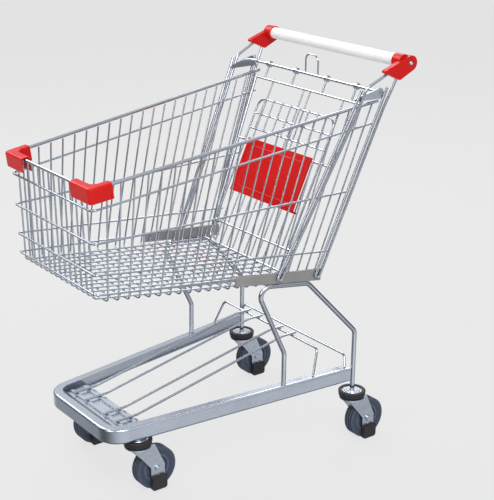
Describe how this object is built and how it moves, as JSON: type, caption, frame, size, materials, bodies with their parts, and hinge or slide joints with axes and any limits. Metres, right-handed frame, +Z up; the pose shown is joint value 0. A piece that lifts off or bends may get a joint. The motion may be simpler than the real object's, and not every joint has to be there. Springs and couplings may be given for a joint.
{
  "type": "shopping cart",
  "caption": "Nesting supermarket cart with a tapered wire basket on a U-shaped base, swivel casters, plastic corner bumpers, handle and a rear gate with folding child seat.",
  "frame": {"origin": "centre of the bounding box at floor level", "axes": "+X forward, the way the cart is pushed; +Y to the left; +Z up"},
  "size_m": [0.8585, 0.541, 0.9925],
  "materials": {
    "bright_wire": "bright zinc under clear lacquer",
    "rail_steel": "satin zinc",
    "plate_steel": "satin warm grey",
    "zinc_steel": "zinc plated, slightly dull",
    "red_plastic": "glossy moulded",
    "white_plastic": "glossy extruded",
    "hub_plastic": "satin moulded",
    "black_plastic": "satin moulded",
    "tyre_rubber": "matte"
  },
  "bodies": {
    "frame": {"base_rail": "rail_steel", "front_cross_plate": "zinc_steel", "caster_sockets": "zinc_steel", "rack_wires": "bright_wire", "rack_hoops": "bright_wire", "leg_left": "bright_wire", "leg_right": "bright_wire", "support_plate_left": "plate_steel", "support_plate_right": "plate_steel", "front_upright_left": "bright_wire", "front_upright_right": "bright_wire", "rear_upright_left": "bright_wire", "rear_upright_right": "bright_wire", "basket_front": "bright_wire", "basket_left": "bright_wire", "basket_right": "bright_wire", "basket_floor": "bright_wire", "rim_left": "bright_wire", "rim_right": "bright_wire", "bumper_left": "red_plastic", "bumper_right": "red_plastic", "handle_tube": "bright_wire", "handle_sleeve": "white_plastic", "handle_bracket_left": "red_plastic", "handle_bracket_right": "red_plastic", "handle_bolts": "zinc_steel", "hinge_plates": "bright_wire", "gate_hinge_rod": "bright_wire", "bag_hook": "bright_wire", "stem_front_left": "zinc_steel", "stem_front_right": "zinc_steel", "stem_rear_left": "zinc_steel", "stem_rear_right": "zinc_steel"},
    "gate": {"rear_gate": "bright_wire"},
    "seat_back": {"seat_back": "bright_wire"},
    "seat_plate": {"seat_plate": "red_plastic"},
    "swivel_front_left": {"ring_front_left": "black_plastic", "fork_front_left": "zinc_steel", "shoes_front_left": "black_plastic", "axle_front_left": "zinc_steel"},
    "wheel_front_left": {"hub_front_left": "hub_plastic", "tyre_front_left": "tyre_rubber"},
    "swivel_front_right": {"ring_front_right": "black_plastic", "fork_front_right": "zinc_steel", "shoes_front_right": "black_plastic", "axle_front_right": "zinc_steel"},
    "wheel_front_right": {"hub_front_right": "hub_plastic", "tyre_front_right": "tyre_rubber"},
    "swivel_rear_left": {"ring_rear_left": "black_plastic", "fork_rear_left": "zinc_steel", "shoes_rear_left": "black_plastic", "axle_rear_left": "zinc_steel"},
    "wheel_rear_left": {"hub_rear_left": "hub_plastic", "tyre_rear_left": "tyre_rubber"},
    "swivel_rear_right": {"ring_rear_right": "black_plastic", "fork_rear_right": "zinc_steel", "shoes_rear_right": "black_plastic", "axle_rear_right": "zinc_steel"},
    "wheel_rear_right": {"hub_rear_right": "hub_plastic", "tyre_rear_right": "tyre_rubber"}
  },
  "joints": [
    {"name": "gate_swing", "type": "hinge", "parent": "frame", "child": "gate", "pos_m": [-0.32818, 0, 0.908], "axis": [0, -1, 0], "range_deg": [0, 62]},
    {"name": "seat_back_fold", "type": "hinge", "parent": "gate", "child": "seat_back", "pos_m": [-0.14993, 0, 0.51867], "axis": [0, 1, 0], "range_deg": [0, 32]},
    {"name": "seat_plate_fold", "type": "hinge", "parent": "gate", "child": "seat_plate", "pos_m": [-0.24284, 0, 0.72161], "axis": [0, -1, 0], "range_deg": [0, 66]},
    {"name": "swivel_turn_front_left", "type": "hinge", "parent": "frame", "child": "swivel_front_left", "pos_m": [0.2882, 0.14013, 0.13], "axis": [0, 0, 1], "continuous": true},
    {"name": "wheel_spin_front_left", "type": "hinge", "parent": "swivel_front_left", "child": "wheel_front_left", "pos_m": [0.2442, 0.14013, 0.053], "axis": [0, 1, 0], "continuous": true},
    {"name": "swivel_turn_front_right", "type": "hinge", "parent": "frame", "child": "swivel_front_right", "pos_m": [0.2882, -0.14013, 0.13], "axis": [0, 0, 1], "continuous": true},
    {"name": "wheel_spin_front_right", "type": "hinge", "parent": "swivel_front_right", "child": "wheel_front_right", "pos_m": [0.2442, -0.14013, 0.053], "axis": [0, 1, 0], "continuous": true},
    {"name": "swivel_turn_rear_left", "type": "hinge", "parent": "frame", "child": "swivel_rear_left", "pos_m": [-0.2958, 0.2355, 0.13], "axis": [0, 0, 1], "continuous": true},
    {"name": "wheel_spin_rear_left", "type": "hinge", "parent": "swivel_rear_left", "child": "wheel_rear_left", "pos_m": [-0.3398, 0.2355, 0.053], "axis": [0, 1, 0], "continuous": true},
    {"name": "swivel_turn_rear_right", "type": "hinge", "parent": "frame", "child": "swivel_rear_right", "pos_m": [-0.2958, -0.2355, 0.13], "axis": [0, 0, 1], "continuous": true},
    {"name": "wheel_spin_rear_right", "type": "hinge", "parent": "swivel_rear_right", "child": "wheel_rear_right", "pos_m": [-0.3398, -0.2355, 0.053], "axis": [0, 1, 0], "continuous": true}
  ]
}
